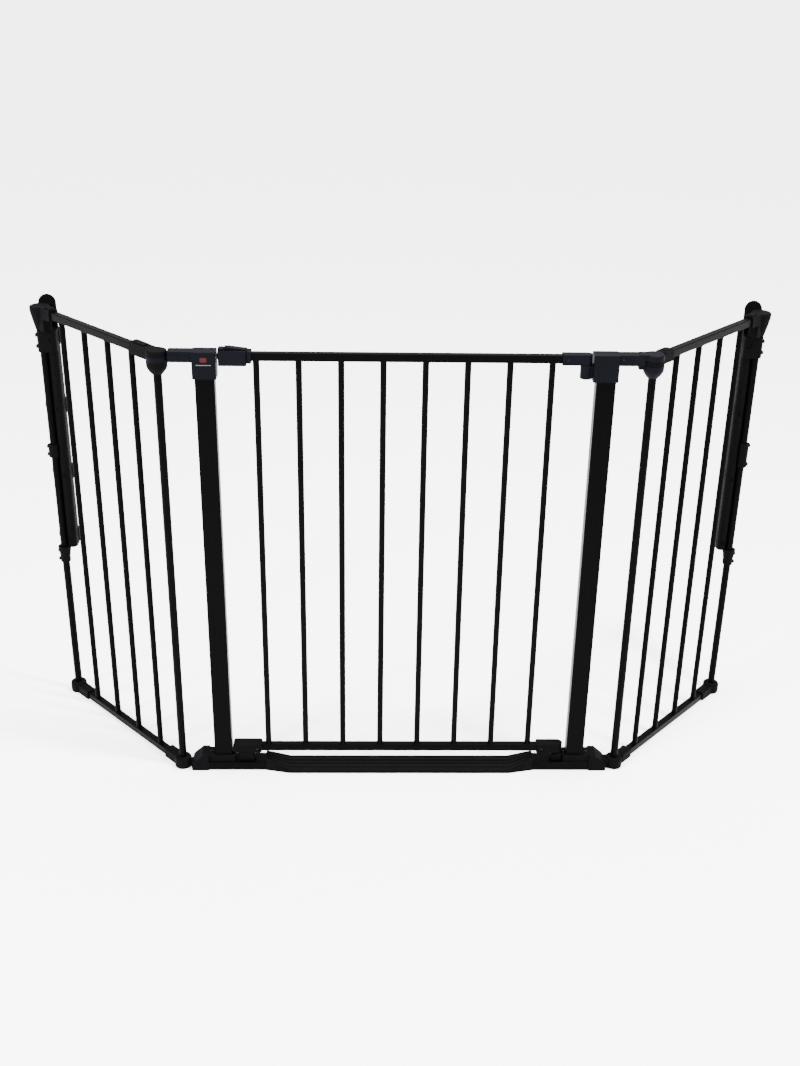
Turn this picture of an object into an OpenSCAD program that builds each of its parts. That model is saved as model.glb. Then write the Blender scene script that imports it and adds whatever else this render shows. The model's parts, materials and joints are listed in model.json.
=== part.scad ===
// Folding safety gate: a door section with a low ribbed threshold and one
// extension panel on each side, each ending in a swivelling wall bracket.
// Frame: X along the door section, +Y away from the room side, Z up.
// Origin: the floor point under the middle of the door section.

/* [Door section] */
// Distance between the two junction post centres
section_w = 720; // [716:1:730]
// Height of the top of the rails above the floor
rail_top = 714; // [650:1:760]
// Distance from a junction post centre to the near square post centre
post_inset = 68.5; // [68:0.5:72]
// Width of a square post along the section
post_w = 29; // [26:0.5:30]
// Depth of a square post
post_d = 20; // [18:0.5:22]
// Number of bars in the door
door_bar_count = 8; // [6:1:8]
// Spacing of the door bars
door_bar_pitch = 61.4; // [56:0.2:62]
// Centre of the first door bar
door_bar_x0 = -217.1; // [-217.1:0.1:-214]

/* [Tubes] */
// Side of the square rail tubes
rail = 12; // [11:0.5:12]
// Diameter of the round bars
bar_d = 9.5; // [8:0.5:10]
// Diameter of the junction and wall posts
tube_d = 12.5; // [12:0.1:12.5]
// Wall thickness of every steel tube
tube_wall = 1.2; // [0.8:0.1:1.5]

/* [Threshold] */
// Depth of the threshold bar
bar_depth = 30; // [26:1:32]
// Height of the threshold bar
bar_h = 14.5; // [12:0.5:14.5]
// Depth of the flat ribbed walk-over strip
ramp_depth = 48; // [44:1:56]
// Height of the flat ribbed walk-over strip
ramp_h = 4.5; // [4:0.5:6]
// Half length of the flat part of the strip
ramp_flat = 182; // [170:1:190]
// Half length of the strip with its rising ends
ramp_end = 222; // [215:1:222]

/* [Extension panels] */
// Distance from junction post to wall post
panel_len = 325; // [325:5:420]
// Number of bars in a panel
panel_bar_count = 4; // [4:1:4]
// Angle that each panel is folded back from the section's line
panel_fold = 47; // [20:1:70]

/* [Wall brackets] */
// Height of the lowest screw lobe
lobe_z0 = 306; // [300:1:320]
// Spacing of the four screw lobes
lobe_pitch = 118.5; // [110:0.5:118.5]
// Radius of the wall screw holes
wall_hole_r = 2.75; // [2:0.25:3]

/* [Hidden] */

fit = 0.1;             // running clearance on a radius
gap = 0.3;             // clearance between faces that move past each other
steel = [0.09, 0.09, 0.1];
plastic = [0.16, 0.17, 0.2];
zinc = [0.55, 0.56, 0.58];

jx = section_w/2;                  // junction post axis
px = jx - post_inset;              // square post centre
rail_z = rail_top - rail/2;        // centre of the top rails
low_z = 38;                        // centre of the door's bottom rail
panel_low_z = 7;                   // centre of a panel's bottom rail
tube_r = tube_d/2;
post_top = rail_top - 2;
right_cover_wall = 5.6;            // wall of the right cover towards the door
arm_x0 = px + post_w/2 + 1.5;      // the covers' arms start inside their outer wall

// Top corner joint: cone, eye and lid in three layers on the junction post
cap_r = 15.5;
cone_z0 = rail_top - 34;
eye_z0 = rail_top - 14;
eye_h = 7.6;
lid_z0 = eye_z0 + eye_h + gap;
lid_z1 = rail_top + 2.8;
arm_hw = 8.5;                      // half width of the rail sleeves
sleeve_l = 42;                     // from the post axis to the sleeve's end
rail_start = 22;                   // rails begin this far from a post axis

// Foot joint: disc, eye and collar
foot_r = 14;
foot_eye_z0 = 6;
foot_eye_h = 6;
foot_top = 19;
foot_sleeve_h = 15.5;

// Hinges of the door
hinge_x = 262;
hinge_pin_r = 3;

// Lock
lock_x0 = -271;
lock_x1 = -230.5;
lock_z0 = rail_top - 18;
lock_z1 = rail_top + 0.5;
lock_lid_z1 = rail_top + 3.5;
lock_wall = 3;
lock_rail_x = -236;
slider_x0 = lock_x0 + lock_wall + gap;
slider_l = 10;
slider_travel = 10;

// Door rails
top_rail_x1 = 248;
bottom_rail_x0 = -262;

// Wall bracket, in a frame centred on the wall post with +X inwards
channel_x0 = -7.2;
channel_x1 = 22.8;
channel_z0 = 291;
channel_z1 = 641;
collar_z1 = 676;                   // top of the collar over the channel
ring_z0 = 262;                     // foot of the tapered collar under it
ring_z1 = 272;
ring_r = 8.6;
plate_y0 = 17.5;
plate_t = 4;
plate_x = (channel_x0 + channel_x1)/2;
lobe_r = 20;
ear_r = 14;
ear_z = rail_top + 2;
screw_x = 15;
access_r = 4.5;                    // access holes for the wall screws
groove_r = tube_r + 0.35;
lip_y = 3;                         // the channel wraps the post from here back
nose_r = (channel_x1 - groove_r)/2; // half round front of the channel
nose_y = 1.6;
lug_x = -11.5;
clamp_z = 469;

// ---- shared shapes -------------------------------------------------------

module round_rect(w, d, r) {
    square([w - 2*r, d], center = true);
    square([w, d - 2*r], center = true);
    for (sx = [-1, 1], sy = [-1, 1])
        translate([sx*(w/2 - r), sy*(d/2 - r)]) circle(r = r, $fn = 24);
}

// A rounded box standing on the z of its low corner
module box_z(x0, x1, hw, z0, z1, r = 2) {
    translate([(x0 + x1)/2, 0, z0]) linear_extrude(z1 - z0) round_rect(x1 - x0, 2*hw, r);
}

module rail_solid(x0, x1, z, grow = 0) {
    translate([x0, 0, z]) rotate([90, 0, 90])
        linear_extrude(x1 - x0) round_rect(rail + 2*grow, rail + 2*grow, 1.2);
}

module rail_tube(x0, x1, z) {
    inner = rail - 2*tube_wall;
    translate([x0, 0, z]) rotate([90, 0, 90]) linear_extrude(x1 - x0) difference() {
        round_rect(rail, rail, 1.2);
        round_rect(inner, inner, 0.6);
    }
}

module round_tube(d, z0, z1) {
    translate([0, 0, z0]) difference() {
        cylinder(d = d, h = z1 - z0, $fn = 48);
        translate([0, 0, -1]) cylinder(d = d - 2*tube_wall, h = z1 - z0 + 2, $fn = 48);
    }
}

module bars(x0, pitch, n, z0, z1) {
    for (i = [0:n - 1]) translate([x0 + i*pitch, 0, 0]) round_tube(bar_d, z0, z1);
}

module screw(head_r = 2.6, head_h = 1.1, shank_r = 1.4, shank_l = 5) {
    difference() {
        rotate_extrude($fn = 32) polygon([
            [0, -shank_l], [shank_r, -shank_l], [shank_r, 0], [head_r, 0],
            [head_r - 0.2, head_h*0.6], [head_r*0.6, head_h], [0, head_h]]);
        for (a = [0, 90]) rotate([0, 0, a]) translate([0, 0, head_h])
            cube([head_r, 0.5, 0.9], center = true);
    }
}

module screw_hole(shank_r = 1.4, shank_l = 5) {
    translate([0, 0, -shank_l]) cylinder(r = shank_r, h = shank_l + 1, $fn = 32);
}

// Round over the top of a turned lid
function arc(cx, cz, r, a0, a1, n = 6) =
    [for (i = [0:n]) let (a = a0 + (a1 - a0)*i/n) [cx + r*cos(a), cz + r*sin(a)]];

// ---- joint pieces, each centred on its post axis with its arm along +X ----

// bulge is 1 for a round shoulder and 0 for a straight funnel
module turned_cone(r_top, z0, z1, neck = tube_r + 1, rim = 5, bulge = 1) {
    n = 7;
    rotate_extrude($fn = 64) polygon(concat(
        [[tube_r, z0]],
        [for (i = [0:n]) let (t = i/n)
            [neck + (r_top - neck)*(bulge*sin(90*t) + (1 - bulge)*t), z0 + (z1 - rim - z0)*t]],
        [[r_top, z1], [tube_r, z1]]));
}

module turned_lid(r, z0, z1) {
    edge = 2.5;
    rotate_extrude($fn = 64) polygon(concat(
        [[0, post_top], [tube_r, post_top], [tube_r, z0], [r, z0]],
        arc(r - edge, z1 - edge, edge, 0, 90),
        [[0, z1]]));
}

module sleeve(z_mid, z0, z1, x0) {
    difference() {
        box_z(x0, sleeve_l, arm_hw, z0, z1, 1.5);
        rail_solid(rail_start, sleeve_l + 1, z_mid);
    }
}

// The half of a top corner joint that holds the post
module top_fork(arm_l) {
    difference() {
        union() {
            turned_cone(cap_r, cone_z0, eye_z0 - gap);
            turned_lid(cap_r, lid_z0, lid_z1);
            box_z(4, arm_l, arm_hw, rail_top - 14.8, lid_z1, 1.5);
            box_z(6, 20, 5, cone_z0 + 14, eye_z0 - gap, 1.5);
            box_z(24, arm_l - 2, 5.5, lid_z1 - 0.5, lid_z1 + 2, 1.5);
        }
        translate([0, 0, eye_z0 - gap])
            cylinder(r = cap_r + 0.6, h = eye_h + 2*gap, $fn = 64);
        translate([0, 0, cone_z0 - 1]) cylinder(r = tube_r, h = post_top - cone_z0 + 1, $fn = 48);
        rail_solid(rail_start, arm_l + 1, rail_z);
    }
}

// The eye that turns on the post between cone and lid
module top_eye() {
    translate([0, 0, eye_z0]) difference() {
        cylinder(r = cap_r, h = eye_h, $fn = 64);
        translate([0, 0, -1]) cylinder(r = tube_r + fit, h = eye_h + 2, $fn = 48);
    }
}

module top_eye_web(x1) {
    translate([tube_r + 4, -5, eye_z0]) cube([x1 - tube_r - 4, 10, eye_h]);
}

module foot_disc() {
    rotate_extrude($fn = 64) polygon(concat(
        [[0, 0], [foot_r - 2, 0]],
        arc(foot_r - 2, 2, 2, -90, 0),
        [[foot_r, foot_eye_z0 - gap], [tube_r, foot_eye_z0 - gap], [tube_r, 3], [0, 3]]));
}

module foot_collar() {
    z0 = foot_eye_z0 + foot_eye_h + gap;
    rotate_extrude($fn = 64) polygon(concat(
        [[tube_r, z0], [foot_r, z0]],
        arc(foot_r - 4, foot_top - 4, 4, 0, 90),
        [[tube_r, foot_top]]));
}

module foot_fork() {
    difference() {
        union() {
            foot_disc();
            foot_collar();
            box_z(4, sleeve_l, arm_hw, 0, foot_sleeve_h, 1.5);
        }
        translate([0, 0, foot_eye_z0 - gap])
            cylinder(r = foot_r + 0.8, h = foot_eye_h + 2*gap, $fn = 64);
        translate([0, 0, 3]) cylinder(r = tube_r, h = foot_top, $fn = 48);
        rail_solid(rail_start, sleeve_l + 1, panel_low_z);
    }
}

module foot_eye() {
    translate([0, 0, foot_eye_z0]) difference() {
        cylinder(r = foot_r, h = foot_eye_h, $fn = 64);
        translate([0, 0, -1]) cylinder(r = tube_r + fit, h = foot_eye_h + 2, $fn = 48);
    }
}

module foot_eye_web(x1) {
    translate([tube_r + 4, -5, foot_eye_z0]) cube([x1 - tube_r - 4, 10, foot_eye_h]);
}

// ---- threshold ------------------------------------------------------------

// Each end of the strip is a loft between two of these four-cornered outlines
ramp_ribs = 5;
rib_h = 1.1;
rib_root = 0.4;
ramp_low = [ramp_depth/2 - 2, ramp_depth/2, ramp_h];   // rib half width, foot half width, height
ramp_high = [11.5, bar_depth/2, bar_h + 7];

function strip_outline(s) =
    [[-s[1], 0], [-s[0], s[2] - rib_h], [s[0], s[2] - rib_h], [s[1], 0]];

function rib_outline(s, i) =
    let (w = 2*s[0]/(ramp_ribs*2 - 1), y = -s[0] + 2*i*w, z = s[2] - rib_h - rib_root)
    [[y + 0.05*w, z], [y + 0.2*w, s[2]], [y + 0.8*w, s[2]], [y + 0.95*w, z]];

module loft(a, b) {
    polyhedron(
        concat([for (p = a) [ramp_flat, p[0], p[1]]], [for (p = b) [ramp_end, p[0], p[1]]]),
        concat([[3, 2, 1, 0], [4, 5, 6, 7]],
            [for (i = [0:3]) let (j = (i + 1)%4) each [[i, j, 4 + i], [j, 4 + j, 4 + i]]]));
}

module ramp_rise() {
    loft(strip_outline(ramp_low), strip_outline(ramp_high));
    for (i = [0:ramp_ribs - 1]) loft(rib_outline(ramp_low, i), rib_outline(ramp_high, i));
}

module threshold_ramp() {
    color(steel) {
        translate([-ramp_flat, 0, 0]) rotate([90, 0, 90]) linear_extrude(2*ramp_flat) {
            polygon(strip_outline(ramp_low));
            for (i = [0:ramp_ribs - 1]) polygon(rib_outline(ramp_low, i));
        }
        ramp_rise();
        mirror([1, 0, 0]) ramp_rise();
    }
}

module threshold_bar_outer(x1) {
    translate([ramp_end, 0, bar_h/2]) rotate([90, 0, 90])
        linear_extrude(x1 - ramp_end) round_rect(bar_depth, bar_h, 1.5);
}

module right_threshold_bar() {
    x1 = jx - 24;
    color(steel) difference() {
        threshold_bar_outer(x1);
        translate([ramp_end - 1, 0, bar_h/2]) rotate([90, 0, 90]) linear_extrude(x1 - ramp_end + 2)
            round_rect(bar_depth - 2*tube_wall, bar_h - 2*tube_wall, 0.8);
    }
}

module left_threshold_bar() {
    mirror([1, 0, 0]) right_threshold_bar();
}

// ---- square posts and their plastic pieces ----------------------------------

module post_outline() {
    round_rect(post_w, post_d, 2);
}

module square_post() {
    translate([px, 0, bar_h]) color(steel) linear_extrude(post_top - 4 - bar_h) difference() {
        post_outline();
        round_rect(post_w - 2*tube_wall, post_d - 2*tube_wall, 1);
    }
}

module right_post() {
    square_post();
}

module left_post() {
    mirror([1, 0, 0]) square_post();
}

// A cap over the post's head with its wall thickness on either side of the post
module cover_block(inner_wall, outer_wall) {
    difference() {
        box_z(px - post_w/2 - inner_wall, px + post_w/2 + outer_wall, 13, rail_top - 38,
            lid_z1 - 0.6, 2);
        translate([px, 0, 0]) linear_extrude(post_top - 4) post_outline();
    }
}

// Built on the right side; the left one is its mirror image
module cover_arm_plain(x1) {
    x0 = arm_x0;
    difference() {
        box_z(x0, x1, 10, rail_top - 13.5, lid_z1 - 0.6, 1.5);
        for (s = [-1, 1]) translate([(x0 + x1)/2 + 3, s*10, rail_top - 2.6])
            cube([x1 - x0 - 4, 1.2, 0.9], center = true);
    }
}

module left_post_cover() {
    color(plastic) mirror([1, 0, 0]) {
        cover_block(3, 3);
        cover_arm_plain(jx - cap_r - 1);
        translate([jx, 0, 0]) mirror([1, 0, 0]) {
            top_eye();
            top_eye_web(cap_r + 4);
        }
    }
}

module right_post_cover() {
    color(plastic) {
        cover_block(right_cover_wall, 2.5);
        difference() {
            union() {
                box_z(arm_x0, jx - cap_r + 2, 10, rail_top - 13.5, lid_z1 - 0.6, 1.5);
                translate([jx, 0, 0]) {
                    turned_cone(cap_r, cone_z0, eye_z0 - gap);
                    turned_lid(cap_r, lid_z0, lid_z1);
                }
                box_z(jx - 22, jx - 4, 9.5, lid_z0, lid_z1, 1.5);
                box_z(jx - 22, jx - 6, 6, cone_z0 + 14, eye_z0 + 2, 1.5);
            }
            translate([jx, 0, eye_z0 - gap])
                cylinder(r = cap_r + 0.6, h = eye_h + 2*gap, $fn = 64);
            translate([jx, 0, cone_z0 - 1])
                cylinder(r = tube_r, h = post_top - cone_z0 + 1, $fn = 48);
            translate([arm_x0 + 6.5, -10, rail_top - 4]) rotate([90, 0, 0]) screw_hole(1.4, 4);
        }
    }
}

// End block of the threshold bar, with a sloping outer shoulder
base_end_x = px + post_w/2 + 10;
base_x0 = px - post_w/2 - 5;
base_h = bar_h + 13;
base_screw_x = [px - post_w/2 - 2.6, px + post_w/2 + 6];
module base_outline() {
    polygon([
        [base_end_x, 0], [base_end_x, base_h - 1], [base_end_x + 1, base_h],
        [jx - 33, base_h], [jx - 18, bar_h], [jx - 16, bar_h - 3], [jx - 16, 0]]);
}

module base_block() {
    hw = bar_depth/2 + 1.5;
    difference() {
        union() {
            translate([0, hw, 0]) rotate([90, 0, 0]) linear_extrude(2*hw) base_outline();
            box_z(base_x0, base_end_x + 2, 12.5, bar_h, base_h, 2);
        }
        threshold_bar_outer(jx - 24);
        translate([px, 0, bar_h]) linear_extrude(40) post_outline();
        for (x = base_screw_x) translate([x, 0, base_h]) screw_hole(1.4, 5);
    }
}

module left_base_block() {
    color(plastic) mirror([1, 0, 0]) {
        base_block();
        translate([jx, 0, 0]) mirror([1, 0, 0]) {
            foot_eye();
            foot_eye_web(18);
        }
    }
}

module right_base_block() {
    color(plastic) {
        base_block();
        difference() {
            union() {
                translate([jx, 0, 0]) {
                    foot_disc();
                    foot_collar();
                }
                box_z(jx - 24, jx - 4, 9, 0, foot_sleeve_h, 1.5);
            }
            translate([jx, 0, foot_eye_z0 - gap])
                cylinder(r = foot_r + 0.8, h = foot_eye_h + 2*gap, $fn = 64);
            translate([jx, 0, 3]) cylinder(r = tube_r, h = foot_top, $fn = 48);
            translate([jx - 30, -20, -1]) cube([6, 40, 20]);
        }
    }
}

module right_junction_post() {
    color(steel) translate([jx, 0, 0]) round_tube(tube_d, 3, post_top);
}

module bottom_catch() {
    color(plastic) box_z(-266, -240, 10, bar_h, 30.3, 3);
}

module upper_hinge_socket() {
    z1 = rail_top - 14.6;
    color(plastic) difference() {
        union() {
            translate([hinge_x, 0, rail_top - 35]) cylinder(r = 8.8, h = z1 - rail_top + 35, $fn = 48);
            translate([hinge_x, -7, rail_top - 33])
                cube([px - post_w/2 - right_cover_wall - hinge_x, 14, z1 - rail_top + 33]);
        }
        translate([hinge_x, 0, rail_top - 32]) cylinder(r = hinge_pin_r + fit, h = 40, $fn = 48);
    }
}

module upper_hinge_pin() {
    color(zinc) translate([hinge_x, 0, rail_top - 31.5])
        cylinder(r = hinge_pin_r, h = 27, $fn = 48);
}

module lower_hinge_lug() {
    color(plastic) difference() {
        box_z(hinge_x - 10, hinge_x + 9.5, 8.5, bar_h, 28, 3);
        translate([hinge_x, 0, 19]) cylinder(r = hinge_pin_r, h = 20, $fn = 48);
    }
}

module lower_hinge_pin() {
    color(zinc) translate([hinge_x, 0, 19]) cylinder(r = hinge_pin_r, h = 24.5, $fn = 48);
}

module badge() {
    color([0.6, 0.12, 0.12]) translate([-px, -13, rail_top - 9]) rotate([90, 0, 0])
        linear_extrude(0.7) round_rect(10, 7, 2.5);
}

module base_screws() {
    color(zinc) for (s = [-1, 1], x = base_screw_x) translate([s*x, 0, base_h]) screw(2.2);
}

module cover_screw() {
    color(zinc) translate([arm_x0 + 6.5, -10, rail_top - 4]) rotate([90, 0, 0])
        screw(2.2, 0.9, 1.4, 4);
}

// ---- door -------------------------------------------------------------------

module door_top_rail() {
    color(steel) rail_tube(lock_rail_x, top_rail_x1, rail_z);
}

module door_bottom_rail() {
    color(steel) rail_tube(bottom_rail_x0, top_rail_x1, low_z);
}

module door_bars() {
    color(steel) bars(door_bar_x0, door_bar_pitch, door_bar_count,
        low_z + rail/2, rail_top - rail);
}

// A cap on a rail's end, rounded about the hinge axis
module hinge_cap(x0, hw, z0, z1, rail_mid, bore_z1) {
    difference() {
        union() {
            box_z(x0, hinge_x + 1, hw, z0, z1, 1.5);
            translate([hinge_x, 0, z0]) cylinder(r = hw, h = z1 - z0, $fn = 48);
        }
        rail_solid(x0 - 1, top_rail_x1, rail_mid);
        translate([hinge_x, 0, z0 - 1])
            cylinder(r = hinge_pin_r + fit, h = bore_z1 - z0 + 1, $fn = 48);
        translate([x0 + 8, -hw, rail_mid]) rotate([90, 0, 0]) screw_hole(1.4, hw - rail/2);
    }
}

module upper_hinge_cap() {
    color(plastic) hinge_cap(226, 8, rail_top - 14, rail_top + 1.6, rail_z, rail_top - 4);
}

module lower_hinge_cap() {
    color(plastic) hinge_cap(227.5, 9, low_z - 8, low_z + 8, low_z, low_z + 6);
}

module bottom_corner_block() {
    color(plastic) difference() {
        translate([0, 10, 0]) rotate([90, 0, 0]) linear_extrude(20)
            translate([-251.7, low_z + 0.5]) round_rect(47.5, 15, 4);
        rail_solid(bottom_rail_x0, -200, low_z);
        translate([-236, -10, low_z]) rotate([90, 0, 0]) screw_hole(1.4, 4);
    }
}

module lock_housing() {
    color(plastic) difference() {
        box_z(lock_x0, lock_x1, 12, lock_z0, lock_z1, 2.5);
        translate([lock_x0 + lock_wall, -9.5, lock_z0 + lock_wall])
            cube([lock_rail_x - lock_x0 - lock_wall, 19, 30]);
        translate([lock_x0 - 1, -5.3, rail_z - 3.8]) cube([10, 10.6, 7.6]);
        rail_solid(lock_rail_x - 0.01, lock_x1 + 1, rail_z);
    }
}

module lock_cover() {
    slot_x0 = slider_x0 + 5.4;
    color(plastic) {
        difference() {
            box_z(lock_x0, lock_x1, 12, lock_z1, lock_lid_z1, 2.5);
            translate([slot_x0, -4.3, lock_z1 - 1]) cube([slider_travel + 5, 8.6, 10]);
        }
        box_z(lock_x0, slot_x0 - 0.6, 7, lock_lid_z1, lock_lid_z1 + 2.8, 1.5);
    }
}

module lock_collar() {
    color(plastic) difference() {
        box_z(lock_x1, lock_x1 + 7, 9, rail_top - 14.7, rail_top + 2.4, 1.5);
        rail_solid(lock_x1 - 1, lock_x1 + 8, rail_z);
    }
}

// Coil between the slider and the end of the rail
module lock_spring() {
    coil_r = 3.6;
    wire_r = 0.5;
    turns = 7;
    sides = 8;
    per_turn = 14;
    x0 = slider_x0 + slider_l + wire_r + 0.05;
    l = lock_rail_x - x0 - wire_r - 0.05;
    n = turns*per_turn;
    rings = [for (i = [0:n]) let (a = 360*i/per_turn, c = [x0 + l*i/n, coil_r*cos(a), coil_r*sin(a)])
        [for (k = [0:sides - 1]) let (b = 360*k/sides)
            c + wire_r*[sin(b), cos(b)*cos(a), cos(b)*sin(a)]]];
    points = [for (r = rings) each r];
    faces = concat(
        [[for (k = [0:sides - 1]) k]],
        [[for (k = [sides - 1:-1:0]) n*sides + k]],
        [for (i = [0:n - 1], k = [0:sides - 1]) let (j = (k + 1)%sides)
            [i*sides + k, (i + 1)*sides + k, (i + 1)*sides + j, i*sides + j]]);
    color(zinc) translate([0, 0, rail_z]) polyhedron(points, faces);
}

module lock_slider() {
    base_x1 = slider_x0 + slider_l;
    neck_x0 = slider_x0 + 5.7;
    top_z = lock_lid_z1 + gap;
    wedge_l = 33;
    color(plastic) {
        translate([slider_x0, -9.2, lock_z0 + lock_wall + gap])
            cube([slider_l, 18.4, lock_z1 - lock_z0 - lock_wall - 2*gap]);
        translate([lock_x0 - 2, -5, rail_z - 3.5]) cube([lock_wall + 4, 10, 7]);
        translate([neck_x0, -4, lock_z1 - 1]) cube([base_x1 - neck_x0, 8, top_z - lock_z1 + 1.5]);
        translate([neck_x0, 6, top_z]) rotate([90, 0, 0]) linear_extrude(12)
            polygon([[0, 0], [wedge_l, 0], [wedge_l, 1], [7, 4.2], [0, 4.2]]);
        for (i = [0:2]) translate([neck_x0 + 1 + 2.2*i, -5, top_z + 4]) cube([1, 10, 0.8]);
    }
}

module door_screws() {
    color(zinc) {
        translate([234, -8, rail_z]) rotate([90, 0, 0]) screw(2.2, 0.9, 1.4, 2);
        translate([235.5, -9, low_z]) rotate([90, 0, 0]) screw(2.2, 0.9, 1.4, 3);
        translate([-236, -10, low_z]) rotate([90, 0, 0]) screw(2.2, 0.9, 1.4, 4);
    }
}

// ---- extension panels ---------------------------------------------------------

// Places a panel built along +X from the right junction post
module on_right() {
    translate([jx, 0, 0]) rotate([0, 0, panel_fold]) children();
}

module on_left() {
    translate([-jx, 0, 0]) rotate([0, 0, 180 - panel_fold]) children();
}

module panel_top_rail() {
    color(steel) rail_tube(rail_start, panel_len - rail_start, rail_z);
}

module panel_bottom_rail() {
    color(steel) rail_tube(rail_start, panel_len - rail_start, panel_low_z);
}

module panel_bars() {
    pitch = panel_len/(panel_bar_count + 1);
    color(steel) bars(pitch, pitch, panel_bar_count, panel_low_z + rail/2, rail_top - rail);
}

module panel_wall_post() {
    color(steel) translate([panel_len, 0, 0]) round_tube(tube_d, 3, post_top);
}

// A larger cap with a pointed outer nose, and the sleeve of the top rail
module panel_wall_cap() {
    wall_cap_r = 16.3;
    point_r = plate_y0 - 2*gap;
    z0 = rail_top - 36;
    z1 = rail_top - 4;
    color(plastic) translate([panel_len, 0, 0]) mirror([1, 0, 0]) difference() {
        union() {
            turned_cone(wall_cap_r, z0, z1, tube_r + 3, 1, 0.15);
            box_z(4, 21, 8, z0, rail_top - 14, 3);
            turned_lid(wall_cap_r, z1, lid_z1);
            translate([0, 0, z1]) linear_extrude(lid_z1 - 1.2 - z1) intersection() {
                circle(r = point_r, $fn = 64);
                rotate([0, 0, 135]) square([wall_cap_r, wall_cap_r]);
            }
            box_z(4, sleeve_l, arm_hw, rail_top - 14.8, lid_z1, 1.5);
            box_z(24, sleeve_l - 2, 5.5, lid_z1 - 0.5, lid_z1 + 2, 1.5);
        }
        translate([0, 0, z0 - 1]) cylinder(r = tube_r, h = post_top - z0 + 1, $fn = 48);
        rail_solid(rail_start, sleeve_l + 1, rail_z);
    }
}

module panel_wall_foot() {
    color(plastic) translate([panel_len, 0, 0]) mirror([1, 0, 0]) difference() {
        union() {
            rotate_extrude($fn = 64) polygon(concat(
                [[0, 0], [foot_r - 2, 0]],
                arc(foot_r - 2, 2, 2, -90, 0),
                arc(foot_r - 4, foot_top - 4, 4, 0, 90),
                [[0, foot_top]]));
            box_z(4, sleeve_l, arm_hw, 0, foot_sleeve_h, 1.5);
        }
        translate([0, 0, 3]) cylinder(r = tube_r, h = foot_top, $fn = 48);
        rail_solid(rail_start, sleeve_l + 1, panel_low_z);
    }
}

module left_top_rail() { on_left() panel_top_rail(); }
module left_bottom_rail() { on_left() panel_bottom_rail(); }
module left_bars() { on_left() panel_bars(); }
module left_wall_post() { on_left() panel_wall_post(); }
module left_wall_cap() { on_left() panel_wall_cap(); }
module left_wall_foot() { on_left() panel_wall_foot(); }
module left_corner_cap() { color(plastic) on_left() top_fork(58); }
module left_foot() { color(plastic) on_left() foot_fork(); }
module left_junction_post() { color(steel) on_left() round_tube(tube_d, 3, post_top); }

module right_top_rail() { on_right() panel_top_rail(); }
module right_bottom_rail() { on_right() panel_bottom_rail(); }
module right_bars() { on_right() panel_bars(); }
module right_wall_post() { on_right() panel_wall_post(); }
module right_wall_cap() { on_right() panel_wall_cap(); }
module right_wall_foot() { on_right() panel_wall_foot(); }

module right_top_knuckle() {
    color(plastic) on_right() {
        top_eye();
        top_eye_web(cap_r + 4);
        sleeve(rail_z, rail_top - 14.8, lid_z1 - 0.6, cap_r + 1);
        box_z(24, sleeve_l - 2, 5.5, lid_z1 - 1, lid_z1 + 0.4, 1.5);
    }
}

module right_foot_knuckle() {
    color(plastic) on_right() {
        foot_eye();
        foot_eye_web(foot_r + 4);
        sleeve(panel_low_z, 0, foot_sleeve_h, foot_r + 1.2);
    }
}

// ---- wall brackets --------------------------------------------------------------

wall_x = jx + panel_len*cos(panel_fold);
wall_y = panel_len*sin(panel_fold);

// Places a bracket built with +X inwards, towards the gate's middle
module at_left_wall() {
    translate([-wall_x, wall_y, 0]) children();
}

module at_right_wall() {
    translate([wall_x, wall_y, 0]) mirror([1, 0, 0]) children();
}

module plate_holes(r, y0, y1) {
    for (i = [0:3]) translate([screw_x, y1, lobe_z0 + i*lobe_pitch])
        rotate([90, 0, 0]) cylinder(r = r, h = y1 - y0, $fn = 32);
}

module wall_plate() {
    spine_x1 = 14;
    lobe_top = lobe_z0 + 3*lobe_pitch;
    color(plastic) difference() {
        translate([0, plate_y0 + plate_t, 0]) rotate([90, 0, 0]) linear_extrude(plate_t) {
            translate([channel_x0, lobe_z0 - 10]) square([spine_x1 - channel_x0, ear_z - lobe_z0 + 10]);
            for (i = [0:3]) translate([plate_x, lobe_z0 + i*lobe_pitch]) circle(r = lobe_r, $fn = 48);
            translate([plate_x, ear_z]) circle(r = ear_r, $fn = 48);
            translate([plate_x - ear_r, lobe_top]) square([2*ear_r, ear_z - lobe_top]);
        }
        plate_holes(wall_hole_r, plate_y0 - 1, plate_y0 + plate_t + 1);
    }
}

module channel_outline() {
    difference() {
        union() {
            translate([channel_x0, lip_y]) square([channel_x1 - channel_x0, plate_y0 - lip_y]);
            translate([groove_r + nose_r, nose_y]) circle(r = nose_r, $fn = 48);
            translate([groove_r, nose_y]) square([2*nose_r, plate_y0 - nose_y]);
        }
        circle(r = groove_r, $fn = 48);
    }
}

module wall_channel() {
    color(plastic) difference() {
        translate([0, 0, channel_z0]) linear_extrude(channel_z1 - channel_z0) channel_outline();
        plate_holes(access_r, -20, plate_y0 + 1);
    }
}

module lug(z) {
    translate([lug_x, -3, z - 2.5]) cube([3.2, 6, 5]);
}

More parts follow.
